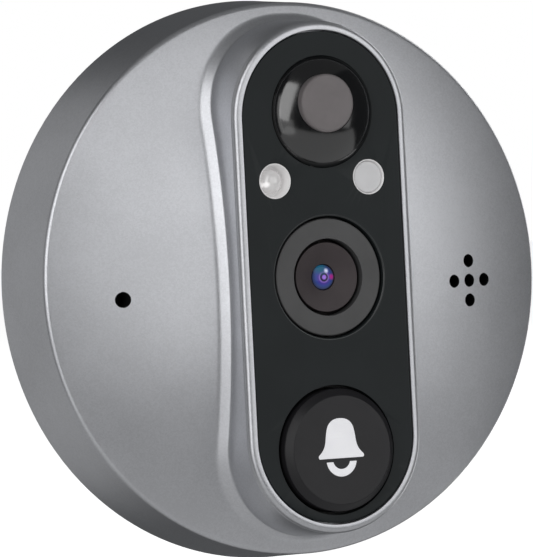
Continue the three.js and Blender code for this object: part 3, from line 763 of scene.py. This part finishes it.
def front_panel():
    holes = [
        circle(PIR_HOLE_R, PIR_X, PIR_Z, 96), circle(CAMERA_HOLE_R, CAMERA_X, 0, 96),
        circle(BUTTON_HOLE_R, 0, BUTTON_Z, 96),
    ]
    holes += [circle(LAMP_R + 0.04, x, LAMP_Z, 64) for x in LAMP_XS.values()]
    panel = plate("panel_gloss", stadium(9.85, 27.8, 64), holes, PANEL_BACK, PANEL_FACE, panel_black,
                  edge=0.06, hole_edges=[0.02, 0.2, 0.02, 0.02, 0.02])
    # The camera hole's edge is polished, and catches the light at its right.
    panel.data.materials.append(panel_edge)
    for face in panel.data.polygons:
        from_hole = math.hypot(face.center.x / MM - CAMERA_X, face.center.z / MM) - CAMERA_HOLE_R
        face.material_index = int(from_hole < 0.3 and face.center.y / MM < 0.4 - PANEL_FACE)
    finish(panel, "front_panel")


front_panel()


# ------------------------------------------------------------------ motion sensor

def pir_outside():
    """From the dome's edge to its middle: a broad arc that turns down more tightly near the edge."""
    bend, lip = PIR_SHOULDER_TILT, PIR_EDGE_TILT
    broad = PIR_SHOULDER_R / math.sin(bend)
    tight = (PIR_R - PIR_SHOULDER_R) / (math.sin(lip) - math.sin(bend))
    points = []
    for k in range(25):
        turn = bend * k / 24
        points.append((broad * math.sin(turn), PIR_TOP - broad * (1 - math.cos(turn))))
    shoulder = points[-1][1]
    for k in range(1, 11):
        turn = bend + (lip - bend) * k / 10
        points.append((PIR_SHOULDER_R + tight * (math.sin(turn) - math.sin(bend)),
                       shoulder - tight * (math.cos(bend) - math.cos(turn))))
    return points[::-1]


def motion_sensor():
    lens_x, lens_z = PIR_X - 0.71, PIR_Z + 0.88
    profile = [
        (0, FLANGE_BACK), (PIR_FLANGE_R, FLANGE_BACK), (PIR_FLANGE_R, FLANGE_FRONT),
        (PIR_NECK_R, FLANGE_FRONT), (PIR_NECK_R, PANEL_FACE - 0.1),
    ]
    shell = lathe("pir_dome_gloss", profile + pir_outside(), gloss_black, PIR_X, PIR_Z, 128)
    inside_r = PIR_NECK_R - 1
    inside = dome(PIR_TOP - 1, PANEL_FACE - 0.3, inside_r, 10)
    hollow = lathe("hollow", [(0, 13), (inside_r, 13)] + inside, gloss_black, PIR_X, PIR_Z, 64)
    seat = peg(PIR_LENS_R + 0.04, PANEL_FACE - 1, PIR_LENS_FACE + 1, lens_x, lens_z, segments=96)
    seat.data.materials[0] = gloss_black
    combine(shell, [hollow, seat], "DIFFERENCE")
    finish(shell, "pir_dome")
    profile = rounded([
        (0, PIR_LENS_BACK), (PIR_LENS_R, PIR_LENS_BACK), (PIR_LENS_R, PIR_LENS_FACE, 0.3),
        (0, PIR_LENS_FACE)])
    finish(lathe("pir_lens_disc", profile, lens_grey, lens_x, lens_z, 96), "pir_lens")


motion_sensor()


# ------------------------------------------------------------------ lamps

def lamp(side, lens_r, lens_edge):
    """A white cup with a lens in it; the lens is a dome from its edge's height above the cup's floor."""
    x, lip = LAMP_XS[side], PANEL_FACE - 0.04
    profile = rounded([
        (0, LAMP_BACK), (1.5, LAMP_BACK), (1.5, LAMP_FLOOR - 1.4), (LAMP_R, LAMP_FLOOR - 0.7),
        (LAMP_R, lip, 0.04), (LAMP_R - 0.12, lip, 0.03), (LAMP_R - 0.2, LAMP_FLOOR, 0.15),
        (0, LAMP_FLOOR)], 3)
    cup = lathe("light_cup_" + side, profile, lamp_white, x, LAMP_Z, 64)
    finish(cup, "light_pipe_" + side)
    profile = [(0, LAMP_FLOOR + 0.05), (lens_r, LAMP_FLOOR + 0.05)]
    profile += dome(LAMP_LENS_TOP, LAMP_FLOOR + lens_edge, lens_r, 14)
    lens = lathe("lamp_lens_dome_" + side, profile, lamp_glass[side], x, LAMP_Z, 64)
    finish(lens, "lamp_lens_" + side)


# The left lamp shows a small round lens, the right one a wide, nearly flat, frosted one.
lamp("left", 1.4, 0.6)
lamp("right", 1.72, 1.6)


# ------------------------------------------------------------------ camera

def camera_eye():
    profile = rounded([
        (APERTURE_R, TRIM_BACK), (TRIM_R, TRIM_BACK), (TRIM_R, TRIM_FACE, 0.16),
        (APERTURE_R, TRIM_FACE, 0.05), (APERTURE_R, TRIM_BACK)])
    trim = lathe("camera_trim", profile, trim_grey, CAMERA_X, 0, segments=128)
    finish(trim, "camera_trim_ring")
    profile = rounded([
        (3.6, BARREL_BACK), (5.9, BARREL_BACK), (5.9, 14.45), (5.4, 14.95), (3.92, 14.95),
        (3.92, BARREL_RIM, 0.05), (1.5, BARREL_FLOOR, 0.03), (1.47, BARREL_FLOOR - 0.3), (1.47, 13.95),
        (3.6, 13.55), (3.6, BARREL_BACK)])
    barrel = lathe("camera_barrel", profile, barrel_black, CAMERA_X, 0, segments=128)
    finish(barrel, "lens_barrel")
    edge = FRONT_LENS_EDGE
    profile = [(0, edge - 1.1), (FRONT_LENS_R, edge - 1.1), (FRONT_LENS_R, edge - 0.05)]
    profile += dome(edge + 0.35, edge, FRONT_LENS_R - 0.01, 12)
    eye = lathe("camera_front_lens", profile, lens_blue, CAMERA_X, 0, segments=96)
    finish(eye, "front_lens")


camera_eye()


# ------------------------------------------------------------------ bell button

def bell(steps=8):
    """The bell's outline: its right side from the foot up, in four curves, and the same mirrored."""
    foot, top = -0.9, 3.62
    right = []

    def curve(a, b, c, d):
        for k in range(steps):
            t = k / steps
            u = 1 - t
            right.append(tuple(
                u ** 3 * a[i] + 3 * u ** 2 * t * b[i] + 3 * u * t * t * c[i] + t ** 3 * d[i]
                for i in (0, 1)))

    curve((2.68, foot), (2.88, foot), (2.96, foot + 0.22), (2.82, foot + 0.42))
    curve((2.82, foot + 0.42), (2.3, foot + 0.85), (2.05, foot + 1.3), (1.95, foot + 1.9))
    curve((1.95, foot + 1.9), (1.88, foot + 2.4), (1.84, foot + 2.8), (1.76, foot + 3.1))
    curve((1.76, foot + 3.1), (1.6, top - 0.45), (0.95, top), (0.0, top))
    left = [(-x, z) for x, z in reversed(right)]
    return right + [(0.0, top)] + left


def clapper(count=24):
    """A half ring that hangs under the bell, cut off level at its top."""
    centre, top, outer, inner = -1.05, -1.3, 1.93, 1.08
    points = []
    for radius, way in ((outer, 1), (inner, -1)):
        drop = math.asin((centre - top) / radius)
        first, last = math.pi + drop, 2 * math.pi - drop
        if way < 0:
            first, last = last, first
        for k in range(count + 1):
            t = first + (last - first) * k / count
            points.append((radius * math.cos(t), centre + radius * math.sin(t)))
    return points


def moved(outline, x, z):
    return [(px + x, pz + z) for px, pz in outline]


def button():
    profile = rounded([
        (0, 14.05), (CAP_FLANGE_R, 14.05), (CAP_FLANGE_R, 14.85, 0.1), (CAP_R, 14.85),
        (CAP_R, PANEL_FACE + 0.6, 0.3), (CAP_R - 0.8, BUTTON_FACE, 0.2), (0, BUTTON_FACE)])
    cap = lathe("bell_cap", profile, cap_black, 0, BUTTON_Z, 128)
    stem = lathe("stem", [(0, 12.25), (STEM_R, 12.25), (STEM_R, 14.5), (0, 14.5)], cap_black, 0, BUTTON_Z, 48)
    inside = [(STEM_R, 13), (5.75, 13), (5.75, BUTTON_SKIN), (STEM_R, BUTTON_SKIN), (STEM_R, 13)]
    hollow = lathe("hollow", inside, cap_black, 0, BUTTON_Z, 64)
    combine(cap, [stem], "UNION")
    combine(cap, [hollow], "DIFFERENCE")
    seats = []
    for outline in (bell(), clapper()):
        bm = bmesh.new()
        seat = moved(offset(outline, 0.015), BELL_X, BUTTON_Z)
        plate_mesh(bm, seat, [], BUTTON_SKIN + 0.6, BUTTON_FACE + 0.5, 0.02)
        seats.append(to_object("seat", bm, cap_black))
    combine(cap, seats, "DIFFERENCE")
    finish(cap, "bell_button_cap", BUTTON)
    bm = bmesh.new()
    for outline in (bell(), clapper()):
        sign = moved(outline, BELL_X, BUTTON_Z)
        plate_mesh(bm, sign, [], BUTTON_SKIN + 0.65, BUTTON_FACE + 0.015, 0.03)
    finish(to_object("bell_sign", bm, icon_white), "bell_icon", BUTTON)


button()


# ------------------------------------------------------------------ back

def screw(name, seat, head_r, head_h, shank_r, length, x, z, node):
    """A cross-headed screw whose head points at the door, with a threaded shank."""
    profile = rounded([
        (0, seat - head_h), (head_r * 0.85, seat - head_h, 0.25), (head_r, seat - head_h * 0.45, 0.3),
        (head_r, seat, 0.05), (shank_r, seat)])
    root_r = shank_r * 0.86
    for k in range(int((length - 0.6) / PITCH)):
        h = seat + k * PITCH
        profile += [(root_r, h + 0.1), (shank_r, h + 0.25), (shank_r, h + 0.32), (root_r, h + 0.45)]
    profile += [(shank_r * 0.5, seat + length), (0, seat + length)]
    blank = lathe(name, profile, steel, x, z, 48)
    depth = head_h * 0.6
    slots = []
    for width, tall in ((head_r * 1.1, head_r * 0.26), (head_r * 0.26, head_r * 1.1)):
        bm = bmesh.new()
        w, t = width / 2, tall / 2
        corners = [(w, -t), (w, t), (-w, t), (-w, -t)]
        rings = [[at(x + cx * s, h, z + cz * s) for cx, cz in corners]
                 for h, s in ((seat - head_h - 0.5, 1.15), (seat - head_h + depth, 0.85))]
        add_rings(bm, rings)
        slots.append(to_object("slot", bm, steel))
    combine(blank, slots, "DIFFERENCE")
    finish(blank, node)


def door_side_plate(name, outline, holes, back, front, edge, material):
    """A plate with its rounded edges towards the door: it is made face down and then turned over."""
    bm = bmesh.new()
    plate_mesh(bm, outline, holes, -front, -back, edge)
    bmesh.ops.scale(bm, vec=(1, -1, 1), verts=bm.verts)
    return to_object(name, bm, material)


def back():
    places = [(sx * COVER_SCREW, sz * COVER_SCREW) for sx, sz in CORNERS]
    holes = [circle(POST_R + 0.05, sx * POST_X, 0, 48) for sx in (-1, 1)] + [stadium(2.6, 5.65, 24)]
    holes += [circle(2.6, x, z, 48) for x, z in places]
    cover = door_side_plate("rear_cover", circle(COVER_R, count=160), holes, COVER_BACK, COVER_FRONT, 0.2,
                            cover_black)
    # Each screw's well has a floor, which the screw's head clamps.
    floor = [(1.5, 2.0), (2.65, 2.0), (2.65, COVER_FRONT), (1.5, COVER_FRONT), (1.5, 2.0)]
    combine(cover, [lathe("floor", floor, cover_black, x, z, 48) for x, z in places], "UNION")
    finish(cover, "back_cover")

    grommet = door_side_plate("cable_slot_grommet", stadium(2.55, 5.6, 24), [stadium(2.15, 5.2, 24)],
                              0.9, 3.0, 0.12, rubber_black)
    finish(grommet, "cable_grommet")

    holes = [circle(12, count=120)] + [circle(3, x, z, 48) for x, z in places]
    pad = door_side_plate("foam_pad", circle(COVER_R - 1, count=160), holes, 0.0, PAD_FRONT, 0.12,
                          rubber_black)
    finish(pad, "adhesive_pad")

    for side, x in (("left", -POST_X), ("right", POST_X)):
        thread = []
        h = POST_END + 0.6
        while h < 1.4:
            thread += [(POST_BORE, h), (POST_BORE + 0.12, h + PITCH / 2)]
            h += PITCH
        outside = rounded([
            (POST_BORE + 0.25, POST_END), (POST_R - 0.15, POST_END), (POST_R, POST_END + 0.15),
            (POST_R, POST_SEAT), (POST_HEAD_R, POST_SEAT, 0.05), (POST_HEAD_R, POST_HEAD, 0.05),
            (0, POST_HEAD), (0, 2.05)])
        profile = outside + [(POST_BORE, 1.9)] + thread[::-1] + [(POST_BORE + 0.25, POST_END)]
        finish(lathe("threaded_post_" + side, profile, brass, x, 0, 48), "mount_post_" + side)

    for i, (x, z) in enumerate(places):
        screw(f"cover_fixing_{i + 1}", 1.95, 2.3, 1.0, 1.15, 6, x, z, f"cover_screw_{i + 1}")


back()


# ------------------------------------------------------------------ pieces that keep their CAD shape

finishes = {
    "panel_adhesive": rubber_black, "housing_seal": silicone_grey, "button_gasket": silicone_grey,
    "pir_spacer": module_black, "pir_sensor_can": steel, "pir_sensor_window": gloss_black,
    "lamp_chip_left": lamp_white, "lamp_chip_right": lamp_white, "rear_lens": coated_glass,
    "lens_holder": module_black, "infrared_filter": coated_glass, "image_sensor": gloss_black,
    "button_spring": steel, "button_carrier": module_black, "switch_body": module_black,
    "switch_plunger": icon_white, "speaker_frame": module_black, "speaker_diaphragm": module_black,
    "speaker_gasket": rubber_black, "speaker_screen": bore_black, "microphone_boot": rubber_black,
    "microphone_capsule": steel, "main_board": board_green, "image_processor": module_black,
    "flash_memory": module_black, "ribbon_connector": icon_white,
}
for i in range(4):
    finishes[f"board_screw_{i + 1}"] = steel
for name, material in finishes.items():
    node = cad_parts[name]
    node.data.materials.clear()
    node.data.materials.append(material)
    node.data.polygons.foreach_set("use_smooth", [True] * len(node.data.polygons))
    node.data.set_sharp_from_angle(angle=math.radians(32))

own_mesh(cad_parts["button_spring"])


# ------------------------------------------------------------------ floor, light and camera

# These two are metres.
FLOOR_HALF = 4.0
FLOOR_Z = -0.0345
FLOOR_CORNERS = [(1, -1), (1, 1), (-1, 1), (-1, -1)]


def floor_material():
    mat, nodes, links, shader = node_tree("studio_floor")
    shader.inputs["Base Color"].default_value = (0.86, 0.86, 0.86, 1)
    shader.inputs["Roughness"].default_value = 0.9
    shader.inputs["Emission Color"].default_value = (1, 1, 1, 1)
    shader.inputs["Emission Strength"].default_value = 0.9
    return mat


bm = bmesh.new()
bm.faces.new([bm.verts.new((sx * FLOOR_HALF, sy * FLOOR_HALF, FLOOR_Z)) for sx, sy in FLOOR_CORNERS])
ground = to_object("floor", bm, floor_material())
# The floor neither shows nor bounces light in the unit.
ground.visible_glossy = False
ground.visible_diffuse = False
ground.visible_shadow = False

world = bpy.data.worlds.new("studio")
bpy.context.scene.world = world
world.use_nodes = True
tree = world.node_tree
tree.nodes.clear()
out = tree.nodes.new("ShaderNodeOutputWorld")
shown = tree.nodes.new("ShaderNodeBackground")
shown.inputs[1].default_value = 1.0
shown.inputs[0].default_value = (1, 1, 1, 1)
soft = tree.nodes.new("ShaderNodeBackground")
soft.inputs[0].default_value = (0.9, 0.95, 1, 1)
soft.inputs[1].default_value = 0.04
pick = tree.nodes.new("ShaderNodeMixShader")
path = tree.nodes.new("ShaderNodeLightPath")
tree.links.new(path.outputs["Is Camera Ray"], pick.inputs[0])
tree.links.new(soft.outputs[0], pick.inputs[1])
tree.links.new(shown.outputs[0], pick.inputs[2])
tree.links.new(pick.outputs[0], out.inputs[0])


def softbox(name, side_deg, up_deg, width_deg, tall_deg, radiance, roll_deg=0):
    """A flat light that looks at the unit from a direction and fills an angle; +X is a positive side."""
    a, e = math.radians(side_deg), math.radians(up_deg)
    way = Vector((math.sin(a) * math.cos(e), -math.cos(a) * math.cos(e), math.sin(e)))
    data = bpy.data.lights.new(name, "AREA")
    data.shape = "RECTANGLE"
    data.size = 2 * LIGHT_DISTANCE * math.tan(math.radians(width_deg) / 2)
    data.size_y = 2 * LIGHT_DISTANCE * math.tan(math.radians(tall_deg) / 2)
    data.energy = radiance * math.pi * data.size * data.size_y
    light = bpy.data.objects.new(name, data)
    bpy.context.scene.collection.objects.link(light)
    turn = way.to_track_quat("Z", "Y").to_matrix().to_4x4()
    roll = Matrix.Rotation(math.radians(roll_deg), 4, "Z")
    light.matrix_world = Matrix.Translation(way * LIGHT_DISTANCE) @ turn @ roll
    light.visible_camera = False


# Name, direction to the side and up, width and height as seen from the unit, and brightness.
softbox("strip", -50, 20, 28, 58, 2.2, roll_deg=-12)
softbox("strip_low", -50, -20, 26, 22, 0.6)
softbox("front", 15, 13, 61, 56, 1.06)
softbox("right", 45, 5, 27, 48, 0.66)
softbox("left_fill", -70, 0, 16, 60, 0.8)
softbox("left_wall", -140, -3, 68, 100, 0.34)
softbox("table", 10, -70, 119, 80, 0.44)
softbox("ceiling", 50, 75, 107, 60, 0.07)
softbox("rear", 118, 5, 26, 60, 1.6)

# Degrees round from straight in front, up, and rolled; then metres from the middle of the view.
VIEW_AZIMUTH = -27.305
VIEW_ELEVATION = 0.681
VIEW_ROLL = -2.857
VIEW_DISTANCE = 0.73286

cam_data = bpy.data.cameras.new("camera")
camera = bpy.data.objects.new("camera", cam_data)
bpy.context.scene.collection.objects.link(camera)
cam_data.sensor_width = 36
cam_data.lens = 414.0
cam_data.clip_start = 0.05
cam_data.clip_end = 20
azimuth, elevation, roll = math.radians(VIEW_AZIMUTH), math.radians(VIEW_ELEVATION), math.radians(VIEW_ROLL)
forward = Vector((-math.sin(azimuth) * math.cos(elevation), math.cos(azimuth) * math.cos(elevation),
                  -math.sin(elevation)))
level_right = Vector((math.cos(azimuth), math.sin(azimuth), 0))
level_up = level_right.cross(forward)
right = level_right * math.cos(roll) + level_up * math.sin(roll)
up = level_up * math.cos(roll) - level_right * math.sin(roll)
# The middle of the view: a point inside the unit, moved a little across the view.
target = at(-0.1, 8.09, 0.02) + right * (-1.975 * MM) + up * (-0.042 * MM)
place = target - forward * VIEW_DISTANCE
camera.matrix_world = Matrix.Translation(place) @ Matrix((right, up, -forward)).transposed().to_4x4()
bpy.context.scene.camera = camera
bpy.context.scene.view_settings.view_transform = "Standard"
